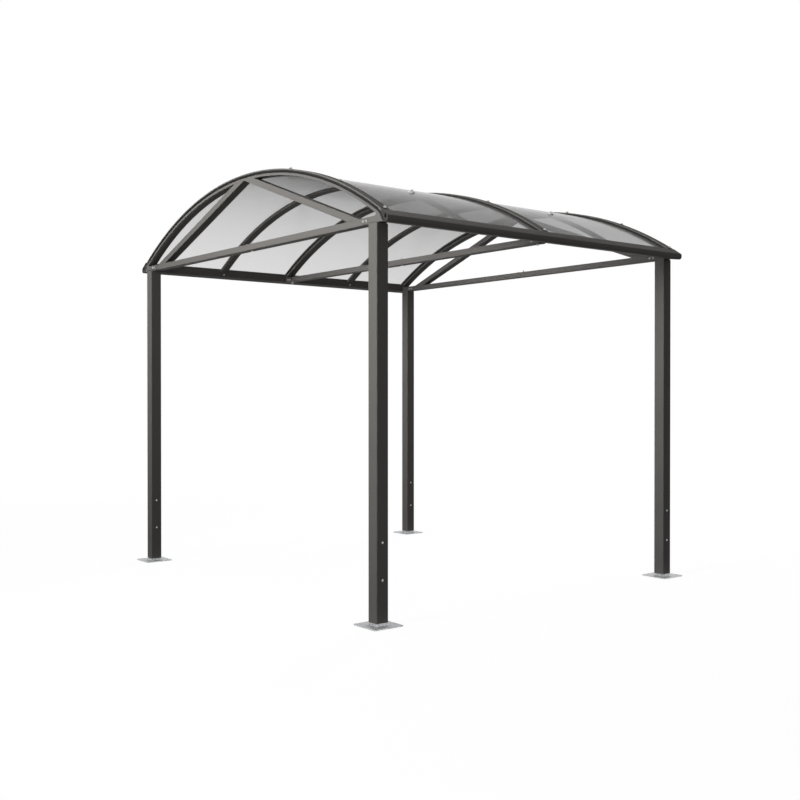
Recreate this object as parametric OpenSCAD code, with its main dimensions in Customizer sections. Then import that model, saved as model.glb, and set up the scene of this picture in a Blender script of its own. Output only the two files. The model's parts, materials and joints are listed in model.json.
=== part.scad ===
// Open carport with a curved roof on four posts.
// X runs across the width, Y from front to rear and Z up. The origin is on the
// ground, midway between the four posts. All sizes are in millimetres.

/* [Overall size] */
// Width over the outer faces of the posts
span_w = 2940; // [2400:10:4000]
// Length over the front and rear faces of the posts
span_l = 2592; // [2000:8:5000]
// Height of the post tops above the ground
post_top = 2224; // [1900:1:2800]
// Rise of the roof from the top of the posts to the crown of the cover strips
roof_rise = 505; // [380:5:700]

/* [Posts and feet] */
// Width of a square post
post_w = 80; // [60:1:120]
// Wall of a post
post_wall = 2; // [1.5:0.5:5]
// Outer corner radius of a post
post_r = 5; // [4:0.5:10]
// Height of the lower end of a post above the ground
post_lift = 19; // [12:1:40]
// Width of a square base plate
plate_w = 200; // [160:5:300]
// Thickness of a base plate
plate_t = 6; // [4:1:12]
// Corner radius of a base plate
plate_r = 8; // [3:1:20]
// Distance between neighbouring holes of a base plate
plate_hole_pitch = 140; // [120:5:150]
// Diameter of a base plate hole
plate_hole_d = 13; // [9:0.5:14]
// Wall of the stub tube that stands inside a post
stub_wall = 3; // [2:0.5:5]
// Outer corner radius of the stub tube
stub_r = 5; // [4:0.5:8]
// Length of the stub tube above the base plate
stub_l = 520; // [300:10:700]
// Gap between the stub tube and the inside of its post, on each side
stub_clear = 0.4; // [0.2:0.1:0.8]

/* [Frame tubes] */
// Depth of the ties, rafters, arches and cover strips, from front to rear
frame_d = 60; // [40:1:76]
// Height of a tie or rafter tube
tube_h = 40; // [30:1:60]
// Wall of a tie or rafter tube
tube_wall = 2; // [1.5:0.5:4]
// Corner radius of a tie or rafter tube
tube_r = 3; // [2.5:0.5:6]
// Distance of the joint between the two halves of a tie from the middle, to the right
splice_x = 30; // [0:5:200]
// Slope of a rafter in degrees
rafter_slope = 19.9; // [15:0.1:24]
// Height of a rafter's top line above the crown of the arch's top face
rafter_rise = 28; // [10:1:40]
// Gap between a rafter and the underside of its arch
seat_clear = 0.3; // [0.2:0.1:0.6]

/* [Arches and cover strips] */
// Height of an arch tube, measured towards the centre of the curve
arch_h = 16; // [12:1:30]
// Wall of an arch tube
arch_wall = 2; // [1.5:0.5:4]
// Gap between a tie and the underside of its arch at an eave beam
arch_gap = 2; // [1:0.5:12]
// Height of the seat ribs that carry a roof sheet on an arch
seat_h = 4.5; // [2:0.5:6]
// Width of a seat rib
seat_w = 6; // [5:1:10]
// Distance of a seat rib and of a sheet's edge from the face of its arch
seat_inset = 8; // [4:1:12]
// Height of a cover strip
cover_h = 14; // [8:1:24]
// Thickness of a cover strip
cover_wall = 3; // [2:0.5:5]
// Height of the ribs under a cover strip that hold a roof sheet down
hold_h = 3.5; // [1:0.5:5]

/* [Roof sheets] */
// Thickness of a roof sheet
sheet_t = 3; // [2:0.5:8]
// Gap between a roof sheet and what it lies on or passes through
sheet_clear = 0.3; // [0.2:0.1:0.6]
// Gap between the two roof sheets over the middle arch
sheet_gap = 12; // [4:1:20]

/* [Eave beams] */
// Distance from the outer face of the posts to the nose of an eave beam
eave_w = 94; // [80:1:130]
// Radius of the lower edge of the nose
nose_r = 18; // [10:1:24]
// Radius of the upper edge of the nose
nose_top_r = 9; // [4:1:14]
// Height of the nose, from its underside up to the roof curve at its outer face
nose_h = 34.9; // [30:0.1:45]
// Height of the lower edge of the inner face above the post tops
inner_low = 5; // [0:1:20]
// Height of the upper edge of the inner face above the post tops
inner_high = 54; // [50:1:60]
// Width of the lip above the sheet
lip_w = 64; // [55:1:80]
// Distance from the nose to the edge of the sheet
sheet_end = 42; // [30:1:50]
// Play between the edge of the sheet and the bottom of its slot
sheet_play = 1; // [0.5:0.5:3]
// Wall of an eave beam
eave_wall = 3; // [2:0.5:5]
// Gap between an eave beam and what ends on it
end_clear = 0.3; // [0.2:0.1:0.6]

/* [End caps] */
// Thickness of an end cap
cap_t = 6; // [4:1:10]
// Width of the rim round the sunk face of an end cap
cap_rim = 8; // [5:1:12]
// Depth of the sunk face of an end cap
cap_sunk = 3; // [1:0.5:3.5]
// Width of the slot in an end cap
slot_w = 14; // [6:1:18]
// Height of the slot in an end cap
slot_h = 22; // [10:1:24]
// Distance from the nose to the slot
slot_in = 19; // [14:1:24]
// Distance from the roof curve down to the top of the slot
slot_under = 1.5; // [1:0.5:6]

/* [Joint plates] */
// Thickness of a joint plate
joint_t = 4; // [3:0.5:6]
// Length of a corner plate, inward from the outer face of the posts
corner_l = 157; // [120:1:220]
// Length of a joint plate on the middle tie
middle_l = 74; // [60:1:120]
// Lap of a corner plate's lower edge over the end of the eave beam
corner_low_lap = 46; // [30:1:60]
// Lap of a corner plate's upper edge over the end of the eave beam
corner_top_lap = 14; // [8:1:24]
// Height of a joint plate's raised tab above the top of its tie
tab_h = 12; // [6:1:13]
// Length of the raised tab, inward from the outer face of the posts
tab_l = 10; // [5:1:20]
// Length of the slope from the raised tab down to the top of the tie
tab_slope_l = 23; // [10:1:40]

/* [Hidden] */

// Round bores and corners are true circles at this setting or a finer one.
$fn = 48;
// The roof curve has a radius of metres, so its arcs take a finer setting.
arc_fn = 256;

left = -1;
right = 1;
front = -1;
rear = 1;

// Centre lines of the posts, and the outer faces of the front and rear ties.
post_x = (span_w - post_w) / 2;
post_y = (span_l - post_w) / 2;
face_y = post_y + frame_d / 2;
// Spacing of the five arches.
bay = post_y / 2;

// The roof curve: radii of its layers, from the undersides of the arches up to the
// top of the cover strips, and the height of their common centre.
inner_x = span_w / 2;
tie_top = post_top + tube_h;
crown_z = post_top + roof_rise;
stack_h = cover_h + hold_h + sheet_t + seat_h + arch_h;
arch_foot_z = tie_top + arch_gap;
arch_rise = crown_z - stack_h - arch_foot_z;
arch_low_r = (inner_x * inner_x + arch_rise * arch_rise) / (2 * arch_rise);
arch_top_r = arch_low_r + arch_h;
sheet_low_r = arch_top_r + seat_h;
sheet_top_r = sheet_low_r + sheet_t;
cover_low_r = sheet_top_r + hold_h;
cover_top_r = cover_low_r + cover_h;
centre_z = crown_z - cover_top_r;

// Height of the roof curve at a distance from the crown along X.
function roof_z(x) = centre_z + sqrt(cover_top_r * cover_top_r - x * x);

// The eave beam's cross-section.
nose_x = inner_x + eave_w;
nose_cx = nose_x - nose_r;
nose_cz = roof_z(nose_x) - nose_h + nose_r;
inner_low_z = post_top + inner_low;
inner_high_z = post_top + inner_high;
lip_x = nose_x - lip_w;
sheet_x = nose_x - sheet_end;
slot_x = sheet_x + sheet_play;
sheet_half = asin(sheet_x / sheet_top_r);
slot_top_z = roof_z(nose_x - slot_in) - slot_under;
// Slope of the underside, which runs smoothly into the lower edge of the nose.
nose_reach = norm([nose_cx - inner_x, nose_cz - inner_low_z]);
under_slope = atan2(nose_cz - inner_low_z, nose_cx - inner_x) - asin(nose_r / nose_reach);
// Half angle of the arcs that are cut to length at the eave beams.
arc_half = asin(nose_x / arch_low_r);

// The joint plates: their upper edge, the lower outer corner of a corner plate, which is
// level with the underside of the eave beam, and the slope of the edge above that corner.
tab_z = tie_top + tab_h;
corner_x = inner_x + corner_low_lap;
corner_z = inner_low_z + corner_low_lap * tan(under_slope);
corner_slope = atan2(tab_z - corner_z, corner_top_lap - corner_low_lap);

// Crown of the rafters' top line, and a length that is more than they need.
rafter_z = centre_z + arch_top_r + rafter_rise;
rafter_reach = span_w;
// Over-length of cutting shapes.
cut = 20;
// Smallest radius of an inner corner.
least_r = 0.5;
// Steps in a rounded edge of the nose.
edge_steps = 12;
// The nose's upper edge rises this far through the roof curve, so that the two cross.
meet = 0.02;

frame_colour = [0.27, 0.26, 0.25];
cap_colour = [0.20, 0.20, 0.20];
zinc_colour = [0.70, 0.71, 0.72];
sheet_colour = [0.62, 0.62, 0.62, 0.45];

// A rectangle with round corners, centred on the origin.
module round_rect(w, h, r) {
    square([w - 2 * r, h], center = true);
    square([w, h - 2 * r], center = true);
    for (x = [-1, 1], y = [-1, 1])
        translate([x * (w / 2 - r), y * (h / 2 - r)])
            circle(r);
}

// The cross-section of a hollow tube with round corners.
module tube_section(w, h, wall, r) {
    difference() {
        round_rect(w, h, r);
        round_rect(w - 2 * wall, h - 2 * wall, max(r - wall, least_r));
    }
}

// Turns a drawing of X and Z upright and gives it a depth along Y, from y to y + depth.
module upright(y, depth) {
    translate([0, y + depth, 0])
        rotate([90, 0, 0])
            linear_extrude(height = depth)
                children();
}

// Turns a drawing of X and Z upright on the face of a front or rear tie, from a distance
// outside that face and with a depth outward.
module on_face(end, out, depth) {
    upright(end * (face_y + out + depth / 2) - depth / 2, depth)
        children();
}

// Points of a rounded edge, from one angle to another.
function edge_points(x, z, r, from, to) = [
    for (step = [0 : edge_steps])
        let (a = from + (to - from) * step / edge_steps)
        [x + r * cos(a), z + r * sin(a)]
];

// The block that the right-hand eave beam is cut from, with the roof curve as its top,
// taken in by an inset all round.
module eave_block(inset) {
    low_r = nose_r - inset;
    low_z = inner_low_z + inset / cos(under_slope) + inset * tan(under_slope);
    top_r = max(nose_top_r - inset, least_r);
    top_x = nose_x - inset - top_r;
    top_reach = cover_top_r - inset - top_r + meet;
    top_z = sqrt(top_reach * top_reach - top_x * top_x);
    top_angle = atan2(top_z, top_x);
    intersection() {
        translate([0, centre_z])
            circle(cover_top_r - inset, $fn = arc_fn);
        polygon(concat(
            [[inner_x + inset, crown_z], [inner_x + inset, low_z]],
            edge_points(nose_cx, nose_cz, low_r, under_slope - 90, 0),
            edge_points(top_x, centre_z + top_z, top_r, 0, top_angle),
            [[top_x + top_r * cos(top_angle), crown_z]]
        ));
    }
}

// The outline of the right-hand eave beam, with its lip over the edge of the sheet.
module eave_outline() {
    difference() {
        eave_block(0);
        translate([0, inner_high_z])
            square([lip_x, crown_z]);
    }
}

// The hollow of the right-hand eave beam, below and outboard of the sheet's slot.
module eave_hollow() {
    intersection() {
        eave_block(eave_wall);
        union() {
            intersection() {
                translate([0, centre_z])
                    circle(sheet_low_r - sheet_clear - eave_wall, $fn = arc_fn);
                square([nose_x, inner_high_z - eave_wall]);
            }
            translate([slot_x + eave_wall, 0])
                square([nose_x, crown_z]);
        }
    }
}

// A slice of the roof curve between two radii, in X and Z.
module curve_band(r_in, r_out) {
    translate([0, centre_z])
        difference() {
            circle(r_out, $fn = arc_fn);
            circle(r_in, $fn = arc_fn);
        }
}

// Bends a cross-section round the roof curve. The section is drawn with X as the radius
// and Y as the depth along the carport.
module along_roof(y, half_angle) {
    translate([0, y, centre_z])
        rotate([-90, 0, 0])
            rotate([0, 0, -90 - half_angle])
                rotate_extrude(angle = 2 * half_angle, $fn = arc_fn)
                    children();
}

// The space between two upright planes, used to cut curved pieces to length.
module cut_to_length(half_l, y) {
    intersection() {
        children();
        translate([0, y, crown_z])
            cube([2 * half_l, span_l, 2 * crown_z], center = true);
    }
}

// Base plate with a stub tube for the post.
module foot(side, end) {
    stub_w = post_w - 2 * post_wall - 2 * stub_clear;
    color(zinc_colour)
        translate([side * post_x, end * post_y, 0]) {
            difference() {
                linear_extrude(height = plate_t)
                    round_rect(plate_w, plate_w, plate_r);
                for (x = [-1, 1], y = [-1, 1])
                    translate([x * plate_hole_pitch / 2, y * plate_hole_pitch / 2, -cut])
                        cylinder(h = plate_t + 2 * cut, d = plate_hole_d);
            }
            translate([0, 0, plate_t])
                linear_extrude(height = stub_l)
                    tube_section(stub_w, stub_w, stub_wall, stub_r);
        }
}

// Hollow square post.
module post(side, end) {
    color(frame_colour)
        translate([side * post_x, end * post_y, post_lift])
            linear_extrude(height = post_top - post_lift)
                tube_section(post_w, post_w, post_wall, post_r);
}

// One half of a tie, from the joint near the middle to the eave beam.
module tie(side, y) {
    color(frame_colour)
        translate([splice_x, y, post_top + tube_h / 2])
            rotate([0, side * 90, 0])
                linear_extrude(height = inner_x - end_clear - side * splice_x)
                    tube_section(tube_h, frame_d, tube_wall, tube_r);
}

// Rafter from the end of a tie up to the crown of the arch.
module rafter(side, end) {
    y = end * post_y;
    color(frame_colour)
        intersection() {
            translate([0, y, rafter_z])
                scale([side, 1, 1])
                    rotate([0, 90 + rafter_slope, 0])
                        translate([tube_h / 2, 0, -tube_h])
                            linear_extrude(height = rafter_reach)
                                tube_section(tube_h, frame_d, tube_wall, tube_r);
            scale([side, 1, 1])
                upright(y - frame_d / 2 - cut, frame_d + 2 * cut)
                    intersection() {
                        translate([0, centre_z])
                            circle(arch_low_r - seat_clear, $fn = arc_fn);
                        translate([0, tie_top])
                            square([inner_x - end_clear, crown_z]);
                    }
        }
}

// The side of a corner plate's outer edge that the plate is on, grown by a gap.
module plate_side(gap) {
    translate([corner_x, corner_z])
        rotate(corner_slope)
            translate([-span_w, -gap])
                square(2 * span_w);
}

// Plate on the outer face of a tie. It laps the foot of the arch and the inboard part of
// the end of the eave beam.
module corner_plate(side, end) {
    color(frame_colour)
        scale([side, 1, 1])
            on_face(end, 0, joint_t)
                polygon([
                    [inner_x - corner_l, inner_low_z],
                    [inner_x, inner_low_z],
                    [corner_x, corner_z],
                    [inner_x + corner_top_lap, tab_z],
                    [inner_x - tab_l, tab_z],
                    [inner_x - tab_l - tab_slope_l, tie_top],
                    [inner_x - corner_l, tie_top]
                ]);
}

// Plate on the front of the middle tie, lapping the foot of the arch.
module middle_plate(side) {
    color(frame_colour)
        scale([side, 1, 1])
            upright(-frame_d / 2 - joint_t, joint_t)
                polygon([
                    [inner_x - middle_l, inner_low_z],
                    [inner_x - end_clear, inner_low_z],
                    [inner_x - end_clear, tab_z],
                    [inner_x - tab_l, tab_z],
                    [inner_x - tab_l - tab_slope_l, tie_top],
                    [inner_x - middle_l, tie_top]
                ]);
}

// Arch tube with two seat ribs on its outer face.
module arch(y) {
    rib_h = seat_h - sheet_clear;
    rib_y = frame_d / 2 - seat_inset - seat_w / 2;
    color(frame_colour)
        cut_to_length(inner_x - end_clear, y)
            along_roof(y, arc_half) {
                difference() {
                    translate([arch_low_r, -frame_d / 2])
                        square([arch_h, frame_d]);
                    translate([arch_low_r + arch_wall, arch_wall - frame_d / 2])
                        square([arch_h - 2 * arch_wall, frame_d - 2 * arch_wall]);
                }
                for (edge = [-1, 1])
                    translate([arch_top_r + rib_h / 2, edge * rib_y])
                        square([rib_h, seat_w], center = true);
            }
}

// Curved sheet over two bays.
module roof_sheet(end) {
    outer = post_y + frame_d / 2 - seat_inset;
    inner = sheet_gap / 2;
    color(sheet_colour)
        along_roof(end * (outer + inner) / 2, sheet_half)
            translate([sheet_low_r + sheet_t / 2, 0])
                square([sheet_t, outer - inner], center = true);
}

// Cover strip with turned-down edges and two ribs that hold the sheets.
module cover_strip(y) {
    rib_r = sheet_top_r + sheet_clear;
    rib_y = frame_d / 2 - seat_inset - seat_w / 2;
    color(frame_colour)
        cut_to_length(lip_x - end_clear, y)
            along_roof(y, arc_half) {
                difference() {
                    translate([cover_low_r, -frame_d / 2])
                        square([cover_h, frame_d]);
                    translate([cover_low_r - cover_wall, cover_wall - frame_d / 2])
                        square([cover_h, frame_d - 2 * cover_wall]);
                }
                for (edge = [-1, 1])
                    translate([(rib_r + cover_top_r) / 2, edge * rib_y])
                        square([cover_top_r - rib_r - cover_wall / 2, seat_w], center = true);
            }
}

// The slot for the edges of the sheets in the right-hand eave beam. Inboard of the lip it
// is open to the top.
module sheet_slot() {
    intersection() {
        curve_band(sheet_low_r - sheet_clear, sheet_top_r + sheet_clear);
        square([slot_x, crown_z]);
    }
    intersection() {
        curve_band(sheet_low_r - sheet_clear, cover_top_r + cut);
        square([lip_x, crown_z]);
    }
}

// Hollow eave beam with a slot for the edges of the sheets.
module eave_beam(side) {
    color(frame_colour)
        scale([side, 1, 1])
            upright(-face_y, 2 * face_y)
                difference() {
                    eave_outline();
                    eave_hollow();
                    sheet_slot();
                }
}

// Cap on the end of an eave beam, outboard of the corner plate. Its face is sunk inside
// a rim and has an upright slot.
module eave_cap(side, end) {
    color(cap_colour)
        scale([side, 1, 1])
            difference() {
                on_face(end, 0, cap_t)
                    difference() {
                        eave_outline();
                        plate_side(end_clear);
                    }
                on_face(end, cap_t - cap_sunk, cut)
                    difference() {
                        eave_block(cap_rim);
                        plate_side(end_clear + cap_rim);
                    }
                on_face(end, -cut, cap_t + 2 * cut)
                    translate([nose_x - slot_in - slot_w, slot_top_z - slot_h])
                        square([slot_w, slot_h]);
            }
}

foot(left, front);  // foot_front_left
foot(right, front);  // foot_front_right
foot(left, rear);  // foot_rear_left
foot(right, rear);  // foot_rear_right
post(left, front);  // post_front_left
post(right, front);  // post_front_right
post(left, rear);  // post_rear_left
post(right, rear);  // post_rear_right
tie(left, front * post_y);  // tie_front_left
tie(right, front * post_y);  // tie_front_right
tie(left, 0);  // tie_middle_left
tie(right, 0);  // tie_middle_right
tie(left, rear * post_y);  // tie_rear_left
tie(right, rear * post_y);  // tie_rear_right
rafter(left, front);  // rafter_front_left
rafter(right, front);  // rafter_front_right
rafter(left, rear);  // rafter_rear_left
rafter(right, rear);  // rafter_rear_right
corner_plate(left, front);  // corner_plate_front_left
corner_plate(right, front);  // corner_plate_front_right
corner_plate(left, rear);  // corner_plate_rear_left
corner_plate(right, rear);  // corner_plate_rear_right
middle_plate(left);  // middle_plate_left
middle_plate(right);  // middle_plate_right
arch(-2 * bay);  // arch_front
arch(-bay);  // arch_second
arch(0);  // arch_middle
arch(bay);  // arch_fourth
arch(2 * bay);  // arch_rear
roof_sheet(front);  // roof_sheet_front
roof_sheet(rear);  // roof_sheet_rear
cover_strip(-2 * bay);  // cover_strip_front
cover_strip(0);  // cover_strip_middle
cover_strip(2 * bay);  // cover_strip_rear
eave_beam(left);  // eave_beam_left
eave_beam(right);  // eave_beam_right
eave_cap(left, front);  // eave_cap_front_left
eave_cap(right, front);  // eave_cap_front_right
eave_cap(left, rear);  // eave_cap_rear_left
eave_cap(right, rear);  // eave_cap_rear_right
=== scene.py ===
import json
import math

import bmesh
import bpy
from mathutils import Matrix, Vector


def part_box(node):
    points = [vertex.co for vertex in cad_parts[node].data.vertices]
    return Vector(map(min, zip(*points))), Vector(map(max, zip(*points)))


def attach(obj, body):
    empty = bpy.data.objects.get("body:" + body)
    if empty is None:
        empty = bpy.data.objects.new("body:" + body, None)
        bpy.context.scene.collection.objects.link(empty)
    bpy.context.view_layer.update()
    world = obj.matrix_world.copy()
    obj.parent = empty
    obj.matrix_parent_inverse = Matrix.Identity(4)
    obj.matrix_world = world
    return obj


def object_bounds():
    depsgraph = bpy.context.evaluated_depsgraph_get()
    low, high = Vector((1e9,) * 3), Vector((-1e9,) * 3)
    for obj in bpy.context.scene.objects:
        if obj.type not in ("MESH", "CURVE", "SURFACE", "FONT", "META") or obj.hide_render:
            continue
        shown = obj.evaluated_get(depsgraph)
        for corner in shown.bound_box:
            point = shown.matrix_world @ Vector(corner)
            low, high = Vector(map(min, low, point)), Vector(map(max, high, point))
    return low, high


# An open carport: powder-coated aluminium posts, ties, rafters and arches, hot-dip
# galvanised feet and a curved roof of smoked polycarbonate sheet under cover strips.
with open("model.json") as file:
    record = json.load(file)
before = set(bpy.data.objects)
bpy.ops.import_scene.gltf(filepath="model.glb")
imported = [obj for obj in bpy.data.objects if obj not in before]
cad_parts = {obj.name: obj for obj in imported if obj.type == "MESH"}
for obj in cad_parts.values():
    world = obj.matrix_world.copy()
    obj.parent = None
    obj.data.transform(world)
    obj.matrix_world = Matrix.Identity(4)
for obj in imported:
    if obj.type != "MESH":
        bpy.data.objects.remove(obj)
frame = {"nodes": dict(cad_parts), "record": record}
cad_low, cad_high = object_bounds()

MM = 0.001

# ---------------------------------------------------------------- camera and studio

LENS_MM = 46.34
SENSOR_MM = 36
VIEW_DEPTH = 200
CAMERA_PLACE = (5.973, -4.698, 1.290)
CAMERA_TILT = math.radians(89.6)
CAMERA_TURN = math.radians(51.64)

# Strength of the paper-white surround as it is seen, and of the room's soft light.
SEEN_WHITE = 1.0
ROOM_LIGHT = 0.205
# The floor's own glow and its share of the lamp light. They add up to white where nothing
# shades the floor, and the share is what the carport's shadow takes away.
FLOOR_GLOW = 0.925
FLOOR_SHARE = 0.18
# Painted shade on the floor: how far a spot of the floor looks round for what blocks it, and
# how open it is where its glow is out and where its glow is full.
PAINTED_SHADE_REACH = 0.03
PAINTED_SHADE_DARK = 0.25
PAINTED_SHADE_LIGHT = 0.45
PAINTED_SHADE_SAMPLES = 8
# The floor is plain white beyond these distances from the middle of the carport.
SHADOW_FADE_START = 3.5
SHADOW_FADE_END = 7.0
FLOOR_HALF = 30.0
FLOOR_GAP = 0.0005

# Numbers of the sockets of a Mix node that mixes colours.
MIX_SHARE = 0
MIX_FIRST = 6
MIX_SECOND = 7
MIXED_COLOUR = 2


def to_linear(hex_colour):
    """An sRGB hex colour, such as "#808080", as linear red, green, blue and alpha."""
    linear = []
    for start in (1, 3, 5):
        value = int(hex_colour[start:start + 2], 16) / 255
        linear.append(value / 12.92 if value <= 0.04045 else ((value + 0.055) / 1.055) ** 2.4)
    return (*linear, 1.0)


def add_node(tree, kind, inputs=None, **settings):
    """Adds a shader node. settings are its properties. inputs gives, by name or number,
    a value for a socket, or the output or the node (its first output) that feeds it."""
    new = tree.nodes.new(kind)
    for name, value in settings.items():
        setattr(new, name, value)
    for key, value in (inputs or {}).items():
        if isinstance(value, bpy.types.Node):
            value = value.outputs[0]
        if isinstance(value, bpy.types.NodeSocket):
            tree.links.new(value, new.inputs[key])
        else:
            new.inputs[key].default_value = value
    return new


def seen_directly(tree):
    """A node whose value is 1 for camera, glossy and transmission rays."""
    rays = add_node(tree, "ShaderNodeLightPath")
    direct = add_node(tree, "ShaderNodeMath", {0: rays.outputs["Is Camera Ray"],
                                               1: rays.outputs["Is Glossy Ray"]},
                      operation="MAXIMUM")
    return add_node(tree, "ShaderNodeMath", {0: direct, 1: rays.outputs["Is Transmission Ray"]},
                    operation="MAXIMUM")


def make_camera():
    """A level camera at chest height, off the front right corner."""
    data = bpy.data.cameras.new("camera")
    data.lens = LENS_MM
    data.sensor_width = SENSOR_MM
    data.clip_end = VIEW_DEPTH
    camera = bpy.data.objects.new("camera", data)
    bpy.context.collection.objects.link(camera)
    camera.location = CAMERA_PLACE
    camera.rotation_euler = (CAMERA_TILT, 0, CAMERA_TURN)
    bpy.context.scene.camera = camera


def make_world():
    """A white surround, with a dimmer room light on the object itself."""
    world = bpy.data.worlds.new("studio")
    world.use_nodes = True
    tree = world.node_tree
    tree.nodes.clear()
    room = add_node(tree, "ShaderNodeBackground", {"Color": to_linear("#ffffff"),
                                                   "Strength": ROOM_LIGHT})
    white = add_node(tree, "ShaderNodeBackground", {"Color": to_linear("#ffffff"),
                                                    "Strength": SEEN_WHITE})
    mixed = add_node(tree, "ShaderNodeMixShader", {0: seen_directly(tree), 1: room, 2: white})
    add_node(tree, "ShaderNodeOutputWorld", {"Surface": mixed})
    bpy.context.scene.world = world


def studio_paper():
    """Matt studio paper. It looks white, and still takes the carport's shadow."""
    material = bpy.data.materials.new("studio_paper")
    material.use_nodes = True
    tree = material.node_tree
    tree.nodes.clear()
    matt = add_node(tree, "ShaderNodeBsdfDiffuse", {"Color": to_linear("#949492")})
    share = add_node(tree, "ShaderNodeBsdfDiffuse", {"Color": (FLOOR_SHARE,) * 3 + (1,)})
    # Painted shade: the glow goes out where nearly all round is blocked, as in the holes of the
    # feet.
    painted_shade_openness = add_node(tree, "ShaderNodeAmbientOcclusion", {"Distance": PAINTED_SHADE_REACH},
                          samples=PAINTED_SHADE_SAMPLES)
    glow_with_painted_shade = add_node(tree, "ShaderNodeMapRange", {"Value": painted_shade_openness.outputs["AO"],
                                                "From Min": PAINTED_SHADE_DARK, "From Max": PAINTED_SHADE_LIGHT,
                                                "To Min": 0.0, "To Max": FLOOR_GLOW})
    glow = add_node(tree, "ShaderNodeEmission", {"Strength": glow_with_painted_shade})
    shaded = add_node(tree, "ShaderNodeAddShader", {0: share, 1: glow})
    # Far from the carport the paper is plain white, so that it has no horizon.
    white = add_node(tree, "ShaderNodeEmission", {"Strength": SEEN_WHITE})
    place = add_node(tree, "ShaderNodeTexCoord").outputs["Object"]
    distance = add_node(tree, "ShaderNodeVectorMath", {0: place}, operation="LENGTH")
    far = add_node(tree, "ShaderNodeMapRange", {"Value": distance.outputs["Value"],
                                                "From Min": SHADOW_FADE_START,
                                                "From Max": SHADOW_FADE_END},
                   interpolation_type="SMOOTHSTEP")
    seen = add_node(tree, "ShaderNodeMixShader", {0: far, 1: shaded, 2: white})
    paper = add_node(tree, "ShaderNodeMixShader", {0: seen_directly(tree), 1: matt, 2: seen})
    # From underneath the paper lets the view through.
    side = add_node(tree, "ShaderNodeNewGeometry")
    clear = add_node(tree, "ShaderNodeBsdfTransparent")
    both = add_node(tree, "ShaderNodeMixShader", {0: side.outputs["Backfacing"], 1: paper,
                                                  2: clear})
    add_node(tree, "ShaderNodeOutputMaterial", {"Surface": both})
    return material


def make_floor():
    """A wide sheet of studio paper just under the feet."""
    mesh = bpy.data.meshes.new("studio_floor")
    half = FLOOR_HALF
    corners = [(-half, -half, 0), (half, -half, 0), (half, half, 0), (-half, half, 0)]
    mesh.from_pydata(corners, [], [(0, 1, 2, 3)])
    mesh.materials.append(studio_paper())
    floor = bpy.data.objects.new("studio_floor", mesh)
    floor.location.z = cad_low.z - FLOOR_GAP
    bpy.context.collection.objects.link(floor)


def make_lamp(name, place, aim, size, watts, spread=180):
    """A square softbox that points at a place, hidden from view and from reflections.
    The spread, in degrees, is that of its grid."""
    data = bpy.data.lights.new(name, "AREA")
    data.shape = "SQUARE"
    data.size = size
    data.energy = watts
    data.spread = math.radians(spread)
    lamp = bpy.data.objects.new(name, data)
    lamp.location = place
    lamp.rotation_euler = (Vector(aim) - Vector(place)).to_track_quat("-Z", "Y").to_euler()
    lamp.visible_camera = False
    lamp.visible_glossy = False
    bpy.context.collection.objects.link(lamp)


make_camera()
make_world()
make_floor()
make_lamp("front_softbox", place=(0.6, -13.0, 3.6), aim=(0.65, -1.3, 3.8), size=3.5,
          watts=183, spread=42)
make_lamp("side_softbox", place=(4.6, -4.6, 1.6), aim=(0, -1.0, 1.3), size=1.5, watts=18)
make_lamp("top_softbox", place=(-2.0, -1.0, 7.5), aim=(0, 0, 2.2), size=4.0, watts=65)
make_lamp("rear_softbox", place=(-5.0, 9.0, 3.6), aim=(0, 1.0, 1.8), size=3.5, watts=220)
bpy.context.scene.view_settings.view_transform = "Standard"

# ---------------------------------------------------------------- materials
# Patterns are placed by object coordinates, which are metres in the carport's own frame.


def new_material(name):
    """An empty material and its node tree."""
    material = bpy.data.materials.new(name)
    material.use_nodes = True
    material.node_tree.nodes.clear()
    return material, material.node_tree


def powder_coated_aluminium():
    """Extruded aluminium with a matt powder coat: an even warm dark grey, with the slight
    orange peel of baked powder. The peel is really under 1 mm and is drawn at 4 mm."""
    peel_size = 4 * MM
    cloud_size = 180 * MM
    material, tree = new_material("powder_coated_aluminium")
    place = add_node(tree, "ShaderNodeTexCoord").outputs["Object"]
    peel = add_node(tree, "ShaderNodeTexNoise", {"Vector": place, "Scale": 1 / peel_size,
                                                 "Detail": 1.0})
    cloud = add_node(tree, "ShaderNodeTexNoise", {"Vector": place, "Scale": 1 / cloud_size,
                                                  "Detail": 2.0})
    colour = add_node(tree, "ShaderNodeMix", {MIX_SHARE: cloud, MIX_FIRST: to_linear("#605e5c"),
                                              MIX_SECOND: to_linear("#676562")},
                      data_type="RGBA")
    gloss = add_node(tree, "ShaderNodeMapRange", {"Value": cloud, "From Min": 0.3,
                                                  "From Max": 0.7, "To Min": 0.62,
                                                  "To Max": 0.72})
    bump = add_node(tree, "ShaderNodeBump", {"Height": peel, "Strength": 0.15,
                                             "Distance": 0.05 * MM})
    coat = add_node(tree, "ShaderNodeBsdfPrincipled", {
        "Base Color": colour.outputs[MIXED_COLOUR],
        "Roughness": gloss,
        "Specular IOR Level": 0.06,
        "Normal": bump,
    })
    add_node(tree, "ShaderNodeOutputMaterial", {"Surface": coat})
    return material


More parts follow.
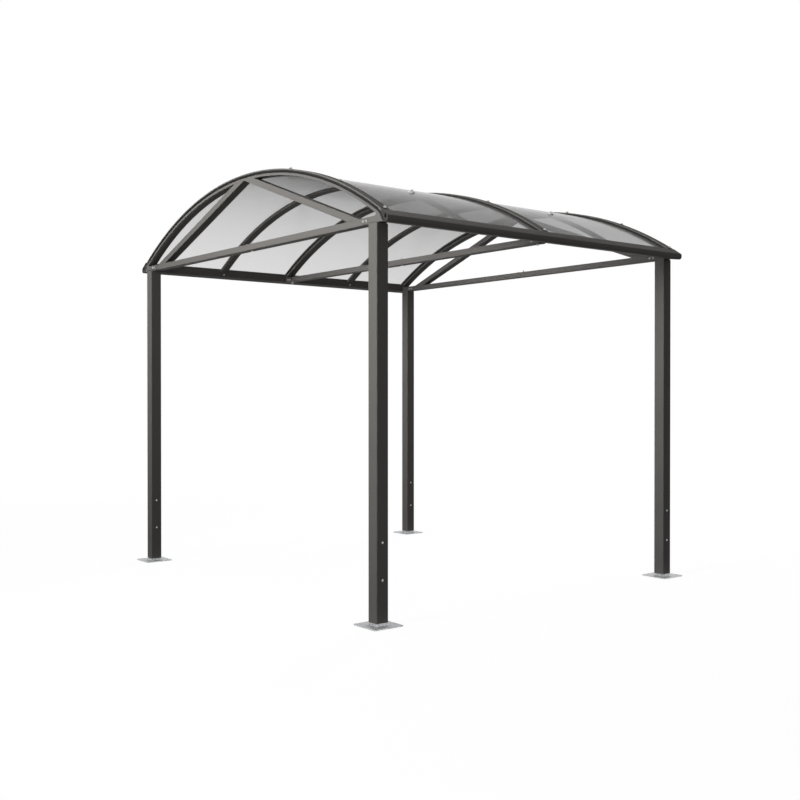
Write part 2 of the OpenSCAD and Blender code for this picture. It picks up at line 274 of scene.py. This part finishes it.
def hot_dip_galvanised_steel():
    """Steel dipped in molten zinc: pale bluish grey, with frozen crystals of zinc about
    9 mm across, each a little lighter or darker and more or less glossy."""
    crystal_size = 9 * MM
    skin_size = 3 * MM
    material, tree = new_material("hot_dip_galvanised_steel")
    place = add_node(tree, "ShaderNodeTexCoord").outputs["Object"]
    crystal = add_node(tree, "ShaderNodeTexVoronoi", {"Vector": place, "Scale": 1 / crystal_size})
    tone = add_node(tree, "ShaderNodeSeparateColor", {0: crystal.outputs["Color"]})
    skin = add_node(tree, "ShaderNodeTexNoise", {"Vector": place, "Scale": 1 / skin_size,
                                                 "Detail": 2.0})
    colour = add_node(tree, "ShaderNodeMix", {MIX_SHARE: tone, MIX_FIRST: to_linear("#a8aaac"),
                                              MIX_SECOND: to_linear("#e4e5e6")},
                      data_type="RGBA")
    gloss = add_node(tree, "ShaderNodeMapRange", {"Value": tone, "To Min": 0.44,
                                                  "To Max": 0.64})
    bump = add_node(tree, "ShaderNodeBump", {"Height": skin, "Strength": 0.3,
                                             "Distance": 0.1 * MM})
    zinc = add_node(tree, "ShaderNodeBsdfPrincipled", {
        "Base Color": colour.outputs[MIXED_COLOUR],
        "Metallic": 0.85,
        "Roughness": gloss,
        "Normal": bump,
    })
    add_node(tree, "ShaderNodeOutputMaterial", {"Surface": zinc})
    return material


def smoked_polycarbonate():
    """Extruded clear polycarbonate tinted smoke grey: smooth and glossy, with shallow draw
    lines along the sheet. It dims what is behind it, more so where it is seen at a flat
    angle and the way through it is longer."""
    cloud_size = 240 * MM
    line_spacing = 20 * MM
    # The lines are drawn out to twenty times their spacing.
    along = 1 / 20
    # Opacity of one face where it is seen face on, and how late the opacity rises as the
    # view gets flatter.
    face_on = 0.12
    lateness = 3.6
    material, tree = new_material("smoked_polycarbonate")
    place = add_node(tree, "ShaderNodeTexCoord").outputs["Object"]
    cloud = add_node(tree, "ShaderNodeTexNoise", {"Vector": place, "Scale": 1 / cloud_size,
                                                  "Detail": 2.0})
    colour = add_node(tree, "ShaderNodeMix", {MIX_SHARE: cloud, MIX_FIRST: to_linear("#9c9c9c"),
                                              MIX_SECOND: to_linear("#a6a6a5")},
                      data_type="RGBA")
    # Draw lines run along the curve of the roof, side by side from front to rear.
    stretch = add_node(tree, "ShaderNodeMapping", {"Vector": place,
                                                   "Scale": (along, 1, along)})
    lines = add_node(tree, "ShaderNodeTexNoise", {"Vector": stretch,
                                                  "Scale": 1 / line_spacing,
                                                  "Detail": 1.0})
    bump = add_node(tree, "ShaderNodeBump", {"Height": lines, "Strength": 0.12,
                                             "Distance": 0.1 * MM})
    # Each face of the sheet is clearest where it is seen face on.
    angle = add_node(tree, "ShaderNodeLayerWeight", {"Blend": 0.5})
    flat_view = add_node(tree, "ShaderNodeMath", {0: angle.outputs["Facing"], 1: lateness},
                         operation="POWER")
    opacity = add_node(tree, "ShaderNodeMapRange", {"Value": flat_view, "To Min": face_on,
                                                    "To Max": 1.0})
    sheet = add_node(tree, "ShaderNodeBsdfPrincipled", {
        "Base Color": colour.outputs[MIXED_COLOUR],
        "Roughness": 0.12,
        "IOR": 1.58,
        "Specular IOR Level": 0.04,
        "Alpha": opacity,
        "Normal": bump,
    })
    add_node(tree, "ShaderNodeOutputMaterial", {"Surface": sheet})
    return material


def moulded_polypropylene():
    """Injection-moulded polypropylene: dark grey and matt, with a fine spark-eroded grain,
    which is really 0.2 mm and is drawn at 1.5 mm."""
    grain_size = 1.5 * MM
    material, tree = new_material("moulded_polypropylene")
    place = add_node(tree, "ShaderNodeTexCoord").outputs["Object"]
    grain = add_node(tree, "ShaderNodeTexNoise", {"Vector": place, "Scale": 1 / grain_size,
                                                  "Detail": 1.0})
    colour = add_node(tree, "ShaderNodeMix", {MIX_SHARE: grain, MIX_FIRST: to_linear("#2c2b2b"),
                                              MIX_SECOND: to_linear("#343332")},
                      data_type="RGBA")
    bump = add_node(tree, "ShaderNodeBump", {"Height": grain, "Strength": 0.4,
                                             "Distance": 0.1 * MM})
    plastic = add_node(tree, "ShaderNodeBsdfPrincipled", {
        "Base Color": colour.outputs[MIXED_COLOUR],
        "Roughness": 0.58,
        "Specular IOR Level": 0.3,
        "Normal": bump,
    })
    add_node(tree, "ShaderNodeOutputMaterial", {"Surface": plastic})
    return material


def zinc_plated_steel():
    """Bright zinc-plated fasteners: silvery, with faint clouding from the passivation."""
    cloud_size = 5 * MM
    material, tree = new_material("zinc_plated_steel")
    place = add_node(tree, "ShaderNodeTexCoord").outputs["Object"]
    cloud = add_node(tree, "ShaderNodeTexNoise", {"Vector": place, "Scale": 1 / cloud_size,
                                                  "Detail": 2.0})
    colour = add_node(tree, "ShaderNodeMix", {MIX_SHARE: cloud, MIX_FIRST: to_linear("#b2b2ae"),
                                              MIX_SECOND: to_linear("#cacac9")},
                      data_type="RGBA")
    gloss = add_node(tree, "ShaderNodeMapRange", {"Value": cloud, "From Min": 0.3,
                                                  "From Max": 0.7, "To Min": 0.26,
                                                  "To Max": 0.42})
    zinc = add_node(tree, "ShaderNodeBsdfPrincipled", {
        "Base Color": colour.outputs[MIXED_COLOUR],
        "Metallic": 0.8,
        "Roughness": gloss,
    })
    add_node(tree, "ShaderNodeOutputMaterial", {"Surface": zinc})
    return material


def extruded_epdm():
    """EPDM rubber seals: nearly black and matt, with a fine bloom of talc on the skin."""
    bloom_size = 2 * MM
    material, tree = new_material("extruded_epdm")
    place = add_node(tree, "ShaderNodeTexCoord").outputs["Object"]
    bloom = add_node(tree, "ShaderNodeTexNoise", {"Vector": place, "Scale": 1 / bloom_size,
                                                  "Detail": 2.0})
    colour = add_node(tree, "ShaderNodeMix", {MIX_SHARE: bloom, MIX_FIRST: to_linear("#191919"),
                                              MIX_SECOND: to_linear("#242423")},
                      data_type="RGBA")
    bump = add_node(tree, "ShaderNodeBump", {"Height": bloom, "Strength": 0.3,
                                             "Distance": 0.1 * MM})
    rubber = add_node(tree, "ShaderNodeBsdfPrincipled", {
        "Base Color": colour.outputs[MIXED_COLOUR],
        "Roughness": 0.72,
        "Specular IOR Level": 0.3,
        "Normal": bump,
    })
    add_node(tree, "ShaderNodeOutputMaterial", {"Surface": rubber})
    return material


def moulded_nylon():
    """Domed washers moulded in natural nylon: milky off-white and waxy, and cloudy where
    they cooled."""
    cloud_size = 6 * MM
    material, tree = new_material("moulded_nylon")
    place = add_node(tree, "ShaderNodeTexCoord").outputs["Object"]
    cloud = add_node(tree, "ShaderNodeTexNoise", {"Vector": place, "Scale": 1 / cloud_size,
                                                  "Detail": 2.0})
    colour = add_node(tree, "ShaderNodeMix", {MIX_SHARE: cloud, MIX_FIRST: to_linear("#d2d1cc"),
                                              MIX_SECOND: to_linear("#e2e1dd")},
                      data_type="RGBA")
    bump = add_node(tree, "ShaderNodeBump", {"Height": cloud, "Strength": 0.2,
                                             "Distance": 0.1 * MM})
    nylon = add_node(tree, "ShaderNodeBsdfPrincipled", {
        "Base Color": colour.outputs[MIXED_COLOUR],
        "Roughness": 0.4,
        "Subsurface Weight": 0.2,
        "Subsurface Scale": 2 * MM,
        "Normal": bump,
    })
    add_node(tree, "ShaderNodeOutputMaterial", {"Surface": nylon})
    return material


FINISHES = {
    "coated_aluminium": powder_coated_aluminium(),
    "galvanised_steel": hot_dip_galvanised_steel(),
    "end_cap_plastic": moulded_polypropylene(),
    "polycarbonate": smoked_polycarbonate(),
}
BRIGHT_ZINC = zinc_plated_steel()
RUBBER = extruded_epdm()
PALE_NYLON = moulded_nylon()

# Width of the broken edge on the frame's pieces, and the least angle of such an edge.
EDGE = 0.8 * MM
EDGE_ANGLE = math.radians(40)
# Corners of neighbouring faces that are nearer than this are one.
SAME_PLACE = 0.01 * MM

for part in frame["record"]["subparts"]:
    piece = frame["nodes"][part["node"]]
    finish = FINISHES[part["material_slot"]]
    for holder in piece.material_slots:
        holder.material = finish
    if part["material_slot"] != "polycarbonate":
        weld = piece.modifiers.new("join_faces", "WELD")
        weld.merge_threshold = SAME_PLACE
        edge = piece.modifiers.new("broken_edge", "BEVEL")
        edge.width = EDGE
        edge.segments = 2
        edge.limit_method = "ANGLE"
        edge.angle_limit = EDGE_ANGLE

# ---------------------------------------------------------------- places on the frame


# A corner this near to a face's plane lies on that face.
ON_FACE = 0.1 * MM


def corners_of(node):
    """Every corner of a node of the frame."""
    return [vertex.co for vertex in frame["nodes"][node].data.vertices]


def curve_centre(node):
    """The height of the centre that a curved node is bent about."""
    points = corners_of(node)
    crown = max(points, key=lambda p: p.z)
    end_x = max(p.x for p in points)
    end = max((p for p in points if p.x > end_x - ON_FACE), key=lambda p: p.z)
    # The centre is as far from the crown as from the end.
    surplus = crown.x ** 2 + crown.z ** 2 - end.x ** 2 - end.z ** 2
    return surplus / (2 * (crown.z - end.z))


def face_radii(node):
    """The least and the greatest radius of the front face of a curved node."""
    points = corners_of(node)
    front_y = min(p.y for p in points)
    radii = [math.hypot(p.x, p.z - curve_z) for p in points if p.y < front_y + ON_FACE]
    return min(radii), max(radii)


def on_roof(radius, x, y):
    """A place on the roof curve of a radius, with Z out of the roof."""
    lean = math.asin(x / radius)
    spot = Matrix.Translation((x, y, curve_z + radius * math.cos(lean)))
    return spot @ Matrix.Rotation(lean, 4, "Y")


def facing(point, direction):
    """A place with Z along a direction."""
    turn = Vector(direction).to_track_quat("Z", "Y").to_matrix().to_4x4()
    return Matrix.Translation(point) @ turn


def mirrored(values):
    """Each value on the left and on the right."""
    return [side * value for side in (-1, 1) for value in values]


curve_z = curve_centre("cover_strip_front")
arch_top_r = face_radii("arch_second")[1]
sheet_low_r, sheet_top_r = face_radii("roof_sheet_front")
strip_low_r, strip_top_r = face_radii("cover_strip_front")
strip_low, strip_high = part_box("cover_strip_front")
strip_half_depth = (strip_high.y - strip_low.y) / 2
tie_low, tie_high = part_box("tie_front_right")
tie_half_depth = (tie_high.y - tie_low.y) / 2
tie_mid_z = (tie_low.z + tie_high.z) / 2
# The inner face of an eave beam, and the middle line of the posts.
beam_face_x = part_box("eave_beam_right")[0].x
post_mid_x = sum(corner.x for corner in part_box("post_front_right")) / 2

ARCHES = ("front", "second", "middle", "fourth", "rear")
ARCH_Y = {name: sum(corner.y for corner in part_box(f"arch_{name}")) / 2 for name in ARCHES}
STRIPS = ("front", "middle", "rear")
CORNERS = [f"{end}_{side}" for end in ("front", "rear") for side in ("left", "right")]
# Which side of the front and the rear frame is outside, as the sign of Y.
OUTSIDE = {"front": -1, "rear": 1}

# ---------------------------------------------------------------- making pieces


def finish_piece(mesh_data, name, material, sharp=35):
    """Turns mesh data into a piece that rides on the carport. It is smooth, except where
    faces meet at more than the sharp angle, in degrees."""
    mesh = bpy.data.meshes.new(name)
    bmesh.ops.recalc_face_normals(mesh_data, faces=mesh_data.faces)
    mesh_data.to_mesh(mesh)
    mesh_data.free()
    mesh.materials.append(material)
    for face in mesh.polygons:
        face.use_smooth = True
    mesh.set_sharp_from_angle(angle=math.radians(sharp))
    piece = bpy.data.objects.new(name, mesh)
    bpy.context.collection.objects.link(piece)
    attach(piece, "root")


def join_rings(mesh_data, rings, closed=False):
    """Skins rings of as many points each. The ends are capped, or joined if closed."""
    loops = [[mesh_data.verts.new(point) for point in ring] for ring in rings]
    pairs = list(zip(loops, loops[1:]))
    if closed:
        pairs.append((loops[-1], loops[0]))
    else:
        mesh_data.faces.new(loops[0])
        mesh_data.faces.new(loops[-1])
    for low, high in pairs:
        for side in range(len(low)):
            after = (side + 1) % len(low)
            mesh_data.faces.new((low[side], low[after], high[after], high[side]))


# Points round a turned shape, in sixes so that a hexagon has its corners.
TURN_STEPS = 4 * 6
# Marks a ring of a turned profile that is a hexagon.
HEX = True
# Angle from the middle of a hexagon's side to its corner.
HEX_HALF = math.pi / 6


def turned(mesh_data, profile, place):
    """Adds a turned shape. The profile runs from the axis at the bottom to the axis at
    the top, in millimetres as (radius, height), or (half width, height, HEX) for a ring
    that is a hexagon."""
    rings = []
    for radius, height, *hexagon in profile:
        if radius == 0:
            rings.append([mesh_data.verts.new(place @ Vector((0, 0, height * MM)))])
            continue
        ring = []
        for step in range(TURN_STEPS):
            angle = math.tau * step / TURN_STEPS
            reach = radius * MM
            if hexagon:
                reach /= math.cos(angle % (2 * HEX_HALF) - HEX_HALF)
            point = Vector((reach * math.cos(angle), reach * math.sin(angle), height * MM))
            ring.append(mesh_data.verts.new(place @ point))
        rings.append(ring)
    for low, high in zip(rings, rings[1:]):
        for step in range(TURN_STEPS):
            after = (step + 1) % TURN_STEPS
            if len(low) == 1:
                mesh_data.faces.new((low[0], high[after], high[step]))
            elif len(high) == 1:
                mesh_data.faces.new((low[step], low[after], high[0]))
            else:
                mesh_data.faces.new((low[step], low[after], high[after], high[step]))


# All sizes of the profiles below are in millimetres.
# The broken edge of a washer, and the rim round a hexagon socket.
WASHER_EDGE = 0.3
SOCKET_RIM = 0.3
SOCKET_LEAD = 0.2
# Shares of a button head's radius and height: half the width of its socket, the height of
# its flat top and the depth of its socket.
SOCKET_SHARE = 0.42
FLAT_SHARE = 0.92
SOCKET_DEEP = 0.6
DOME_ANGLE = math.radians(62)
DOME_STEPS = 5
# The turned chamfer of a hexagon: its height, the share of the half width that is left
# on top, and the share that the dished middle of a head takes.
CHAMFER_H = 0.9
CHAMFER_SHARE = 0.94
DISH_SHARE = 0.7
DISH_DEEP = 0.2
# The chamfers at the end of a bolt's thread and at the mouth of a nut.
THREAD_CHAMFER = 0.8
NUT_MOUTH = 0.3


def washer(radius, thickness, start=0.0):
    """The lower part of a profile: a flat washer with a broken edge."""
    top = start + thickness
    return [(0, start), (radius, start), (radius, top - WASHER_EDGE),
            (radius - WASHER_EDGE, top)]


def button_head(head_r, head_h, washer_r, washer_t):
    """A button-head screw with a hexagon socket, on a flat washer."""
    dome = [(head_r, washer_t)]
    for step in range(1, DOME_STEPS):
        angle = DOME_ANGLE * step / DOME_STEPS
        dome.append((head_r * math.cos(angle), washer_t + head_h * math.sin(angle)))
    socket = head_r * SOCKET_SHARE
    top = washer_t + head_h * FLAT_SHARE
    bottom = top - head_h * SOCKET_DEEP
    return washer(washer_r, washer_t) + dome + [
        (socket + SOCKET_RIM, top), (socket, top - SOCKET_LEAD, HEX), (socket, bottom, HEX),
        (0, bottom)]


def hex_sides(across, height, start):
    """The middle part of a profile: the sides and the turned chamfer of a hexagon."""
    half = across / 2
    top = start + height
    return [(half, start, HEX), (half, top - CHAMFER_H, HEX), (half * CHAMFER_SHARE, top)]


def hex_head(across, height, start):
    """The upper part of a profile: a hexagon head with a dished top."""
    top = start + height
    return hex_sides(across, height, start) + [(across / 2 * DISH_SHARE, top),
                                               (0, top - DISH_DEEP)]


def hex_nut(across, height, bolt_r, bolt_end, start):
    """The upper part of a profile: a hexagon nut, with the end of its bolt standing out."""
    top = start + height
    end = top + bolt_end
    return hex_sides(across, height, start) + [
        (bolt_r, top - NUT_MOUTH), (bolt_r, end - THREAD_CHAMFER),
        (bolt_r - THREAD_CHAMFER, end), (0, end)]


# The bolts of the joints are M8, with a washer at each end.
M8_R = 4
M8_HEX = 13
WASHER_R = 8
WASHER_T = 1.6
NUT_H = 6.5
JOINT_WASHER = washer(WASHER_R, WASHER_T)
JOINT_BOLT = JOINT_WASHER + hex_head(M8_HEX, height=5.3, start=WASHER_T)
JOINT_NUT = JOINT_WASHER + hex_nut(M8_HEX, NUT_H, M8_R, bolt_end=3, start=WASHER_T)
LONG_NUT = JOINT_WASHER + hex_nut(M8_HEX, NUT_H, M8_R, bolt_end=8, start=WASHER_T)
POST_SCREW = button_head(head_r=6, head_h=3, washer_r=7, washer_t=0.8)
BEAM_SCREW = button_head(head_r=5.5, head_h=2.8, washer_r=6.5, washer_t=0.8)

# A roof screw on a cover strip: a rubber ring, a washer and a hexagon head.
RING_T = 3.6
STRIP_SEAL = washer(12.5, RING_T)
STRIP_SCREW = washer(10.5, WASHER_T, RING_T) + hex_head(M8_HEX, 6.5, RING_T + WASHER_T)
# A roof screw on a sheet: a wide nylon dome, a domed washer and a hexagon head.
DOME_H = 8
CUP_TOP = 11.8
SHEET_SEAL = [(0, 0), (22, 0), (22, 2.6), (19.5, 5.5), (14, DOME_H), (0, DOME_H)]
SHEET_SCREW = [(0, DOME_H), (12, DOME_H), (12, 9.2), (10, 10.8), (7.8, 11.6), (7.5, CUP_TOP)]
SHEET_SCREW += hex_head(M8_HEX, 7, CUP_TOP)

# ---------------------------------------------------------------- roof screws

# Distances of the roof screws from the crown, along X.
STRIP_SCREWS_X = {"front": (0.530, 1.063), "middle": (0.976,), "rear": (0.530, 1.063)}
SHEET_SCREW_X = 0.947
# Distance of the screw at each end of a cover strip from that end.
END_SCREW_IN = 12 * MM


def roof_screws(name, places, seal, screw, seal_finish):
    """Roof screws and the seals under them."""
    seals = bmesh.new()
    screws = bmesh.new()
    for place in places:
        turned(seals, seal, place)
        turned(screws, screw, place)
    finish_piece(seals, f"{name}_seals", seal_finish)
    finish_piece(screws, name, BRIGHT_ZINC)


for end in STRIPS:
    xs = mirrored([*STRIP_SCREWS_X[end], strip_high.x - END_SCREW_IN])
    roof_screws(f"strip_screws_{end}", [on_roof(strip_top_r, x, ARCH_Y[end]) for x in xs],
                STRIP_SEAL, STRIP_SCREW, RUBBER)
for arch in ("second", "fourth"):
    xs = mirrored([SHEET_SCREW_X])
    roof_screws(f"sheet_screws_{arch}", [on_roof(sheet_top_r, x, ARCH_Y[arch]) for x in xs],
                SHEET_SEAL, SHEET_SCREW, PALE_NYLON)

# ---------------------------------------------------------------- joint fasteners

# Distances inward from the middle line of the posts, of the bolts through the corner
# plates and the middle plates.
CORNER_BOLTS_IN = (89 * MM, 58 * MM)
MIDDLE_BOLTS_IN = (18 * MM, -10 * MM)
# Places along X of the upright screw and bolt that hold a tie's two halves to a sleeve.
SPLICE_SCREW_X = 0.0
SPLICE_BOLT_X = 0.060
SPLICE_SCREW = JOINT_WASHER + hex_head(10, height=7, start=WASHER_T)


def corner_bolts(end, outward):
    """Bolts through a front or rear tie: heads outside the corner plates, nuts inside."""
    mesh_data = bmesh.new()
    low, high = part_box(f"corner_plate_{end}_right")
    outside = high.y if outward > 0 else low.y
    inside = ARCH_Y[end] - outward * tie_half_depth
    for x in mirrored([post_mid_x - inward for inward in CORNER_BOLTS_IN]):
        turned(mesh_data, JOINT_BOLT, facing((x, outside, tie_mid_z), (0, outward, 0)))
        turned(mesh_data, JOINT_NUT, facing((x, inside, tie_mid_z), (0, -outward, 0)))
    finish_piece(mesh_data, f"corner_bolts_{end}", BRIGHT_ZINC)


def middle_bolts():
    """Bolts through the middle tie and its plates, and one up through each of its ends, on
    the middle line of the posts."""
    mesh_data = bmesh.new()
    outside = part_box("middle_plate_right")[0].y
    inside = ARCH_Y["middle"] + tie_half_depth
    for x in mirrored([post_mid_x - inward for inward in MIDDLE_BOLTS_IN]):
        turned(mesh_data, JOINT_BOLT, facing((x, outside, tie_mid_z), (0, -1, 0)))
        turned(mesh_data, JOINT_NUT, facing((x, inside, tie_mid_z), (0, 1, 0)))
    for x in mirrored([post_mid_x]):
        turned(mesh_data, JOINT_NUT, facing((x, ARCH_Y["middle"], tie_low.z), (0, 0, -1)))
    finish_piece(mesh_data, "middle_bolts", BRIGHT_ZINC)


def splice_fasteners(end):
    """The screw and the bolt of the sleeve where the two halves of a tie meet."""
    mesh_data = bmesh.new()
    y = ARCH_Y[end]
    turned(mesh_data, SPLICE_SCREW, facing((SPLICE_SCREW_X, y, tie_high.z), (0, 0, 1)))
    turned(mesh_data, LONG_NUT, facing((SPLICE_BOLT_X, y, tie_high.z), (0, 0, 1)))
    turned(mesh_data, JOINT_BOLT, facing((SPLICE_BOLT_X, y, tie_low.z), (0, 0, -1)))
    finish_piece(mesh_data, f"splice_fasteners_{end}", BRIGHT_ZINC)


for end, outward in OUTSIDE.items():
    corner_bolts(end, outward)
middle_bolts()
for end in STRIPS:
    splice_fasteners(end)

# Heights of the screws that pin a post to the stub tube of its foot.
POST_SCREWS_Z = (0.256, 0.464)


def post_screws(corner):
    """Screws in the left and right faces of a post, into its stub tube."""
    low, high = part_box(f"post_{corner}")
    middle_y = (low.y + high.y) / 2
    mesh_data = bmesh.new()
    for z in POST_SCREWS_Z:
        turned(mesh_data, POST_SCREW, facing((high.x, middle_y, z), (1, 0, 0)))
        turned(mesh_data, POST_SCREW, facing((low.x, middle_y, z), (-1, 0, 0)))
    finish_piece(mesh_data, f"post_screws_{corner}", BRIGHT_ZINC)


for corner in CORNERS:
    post_screws(corner)

# How far the screws in the inner faces of the eave beams are above the middle of the ties.
BEAM_SCREW_UP = 4 * MM


def beam_screws():
    """A screw in the inner face of each eave beam under the second and fourth arches."""
    mesh_data = bmesh.new()
    for arch in ("second", "fourth"):
        for side in (-1, 1):
            point = (side * beam_face_x, ARCH_Y[arch], tie_mid_z + BEAM_SCREW_UP)
            turned(mesh_data, BEAM_SCREW, facing(point, (-side, 0, 0)))
    finish_piece(mesh_data, "beam_screws", BRIGHT_ZINC)


beam_screws()

# ---------------------------------------------------------------- seals

# Play above and below a seal.
SEAL_PLAY = 0.2 * MM
# Width of a seal under a cover strip or on an arch, and how far its middle is in from
# their face.
SEAL_W = 5.6 * MM
SEAL_IN = 4 * MM
# The same for the seal that closes the front or rear edge of a sheet.
EDGE_SEAL_W = 3 * MM
EDGE_SEAL_IN = 6 * MM
# Width of the black lip that stands out beside a cover strip, and how far it reaches below and
# above the strip's lower edge. The lip is painted shade, for the shaded gap between the arch
# and the strip.
SHADE_LIP_W = 2.4 * MM
SHADE_LIP_BELOW = 3.4 * MM
SHADE_LIP_ABOVE = 6 * MM
# Width and height of the wiper on the sheet along an eave beam.
WIPER_W = 4 * MM
WIPER_H = 3 * MM
# How far the seals and wipers stop short of what they end at.
SEAL_END = 1 * MM
# Steps along a bent seal and round its outline.
SEAL_STEPS = 96
BEAD_STEPS = 12


def bead(width, height):
    """The outline of a rounded bead about its middle."""
    outline = []
    for step in range(BEAD_STEPS):
        angle = math.tau * (step + 0.5) / BEAD_STEPS
        across = math.copysign(math.sqrt(abs(math.cos(angle))), math.cos(angle))
        up = math.copysign(math.sqrt(abs(math.sin(angle))), math.sin(angle))
        outline.append((across * width / 2, up * height / 2))
    return outline


def bent_seal(mesh_data, y, width, low_r, high_r, half_x):
    """Adds a bead bent to the roof curve, between two radii and out to half_x."""
    outline = bead(width, high_r - low_r - 2 * SEAL_PLAY)
    middle_r = (low_r + high_r) / 2
    half_angle = math.asin(half_x / middle_r)
    rings = []
    for step in range(SEAL_STEPS + 1):
        angle = half_angle * (2 * step / SEAL_STEPS - 1)
        rings.append([((middle_r + up) * math.sin(angle), y + across,
                       curve_z + (middle_r + up) * math.cos(angle))
                      for across, up in outline])
    join_rings(mesh_data, rings)


def strip_seals_and_shade_lips(end):
    """Seals on the sheets under the edges of a cover strip, each with a black lip that stands
    out beside the strip. The lip is painted shade, for the shaded gap between the arch and
    the strip. At the front and the rear of the roof a taller seal closes the edge of the
    sheet."""
    mesh_data = bmesh.new()
    y = ARCH_Y[end]
    for side in (-1, 1):
        # The black lip beside the strip is painted shade, for the shaded gap between arch and
        # strip.
        bent_seal(mesh_data, y + side * (strip_half_depth + SHADE_LIP_W / 2), SHADE_LIP_W,
                  strip_low_r - SHADE_LIP_BELOW, strip_low_r + SHADE_LIP_ABOVE,
                  beam_face_x - SEAL_END)
        if side == OUTSIDE.get(end):
            bent_seal(mesh_data, y + side * (strip_half_depth - EDGE_SEAL_IN), EDGE_SEAL_W,
                      arch_top_r, strip_low_r, beam_face_x - SEAL_END)
        else:
            bent_seal(mesh_data, y + side * (strip_half_depth - SEAL_IN), SEAL_W,
                      sheet_top_r, strip_low_r, strip_high.x - SEAL_END)
    finish_piece(mesh_data, f"strip_seals_and_shade_lips_{end}", RUBBER)


def arch_seals(name):
    """Seals between an arch and the sheets that lie on it."""
    mesh_data = bmesh.new()
    for side in (-1, 1):
        if side != OUTSIDE.get(name):
            bent_seal(mesh_data, ARCH_Y[name] + side * (strip_half_depth - SEAL_IN), SEAL_W,
                      arch_top_r, sheet_low_r, beam_face_x - SEAL_END)
    finish_piece(mesh_data, f"arch_seals_{name}", RUBBER)


def eave_wipers():
    """Rubber wipers on the sheets, along the lips of the eave beams between the strips."""
    mesh_data = bmesh.new()
    reach = strip_half_depth + SEAL_END
    spans = [(ARCH_Y["front"] + reach, ARCH_Y["middle"] - reach),
             (ARCH_Y["middle"] + reach, ARCH_Y["rear"] - reach)]
    for x in mirrored([strip_high.x - WIPER_W / 2]):
        for start, stop in spans:
            place = on_roof(sheet_top_r + WIPER_H / 2, x, 0)
            rings = [[place @ Vector((across, y, up)) for across, up in bead(WIPER_W, WIPER_H)]
                     for y in (start, stop)]
            join_rings(mesh_data, rings)
    finish_piece(mesh_data, "eave_wipers", RUBBER)


for end in STRIPS:
    strip_seals_and_shade_lips(end)
for arch in ARCHES:
    arch_seals(arch)
eave_wipers()

# ---------------------------------------------------------------- welds

# Corner radius of the stub tube on a base plate.
STUB_R = 5 * MM
# Length of a side of the weld, and the distance between its ripples, their height and the
# steps along each.
WELD_LEG = 5 * MM
RIPPLE = 4 * MM
RIPPLE_H = 0.5 * MM
RIPPLE_STEPS = 5
# The outline of the weld as shares of its leg, out from the tube and up from the plate.
# It reaches a little into the tube.
WELD_OUTLINE = ((-0.2, 0), (1, 0), (0.78, 0.45), (0.45, 0.78), (0, 1), (-0.2, 1))


def round_square_path(half_width, radius, step):
    """Points and outward directions round a square with round corners, in X and Y, at most
    a step apart."""
    straight = half_width - radius
    path = []
    for corner in range(4):
        turn = Matrix.Rotation(corner * math.pi / 2, 2)
        count = math.ceil(2 * straight / step)
        for at in range(count):
            point = Vector((straight + radius, 2 * straight * at / count - straight))
            path.append((turn @ point, turn @ Vector((1, 0))))
        count = math.ceil(radius * math.pi / 2 / step)
        for at in range(count):
            angle = math.pi / 2 * at / count
            out = Vector((math.cos(angle), math.sin(angle)))
            path.append((turn @ (Vector((straight, straight)) + radius * out), turn @ out))
    return path


def foot_weld(corner):
    """The rippled fillet weld between a stub tube and its base plate."""
    low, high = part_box(f"foot_{corner}")
    middle = (low + high) / 2
    points = corners_of(f"foot_{corner}")
    plate_top = min(p.z for p in points if p.z > low.z + ON_FACE)
    stub_half = max(p.x for p in points if p.z > high.z - ON_FACE) - middle.x
    path = round_square_path(stub_half, STUB_R, RIPPLE / RIPPLE_STEPS)
    rings = []
    for number, (point, out) in enumerate(path):
        swell = RIPPLE_H * abs(math.sin(math.pi * number / RIPPLE_STEPS))
        ring = []
        for away, up in WELD_OUTLINE:
            leg = WELD_LEG + (swell if away > 0 and up > 0 else 0)
            spot = point + out * away * leg
            ring.append((middle.x + spot.x, middle.y + spot.y, plate_top + up * leg))
        rings.append(ring)
    mesh_data = bmesh.new()
    join_rings(mesh_data, rings, closed=True)
    finish_piece(mesh_data, f"foot_weld_{corner}", FINISHES["galvanised_steel"],
                 sharp=60)


for corner in CORNERS:
    foot_weld(corner)
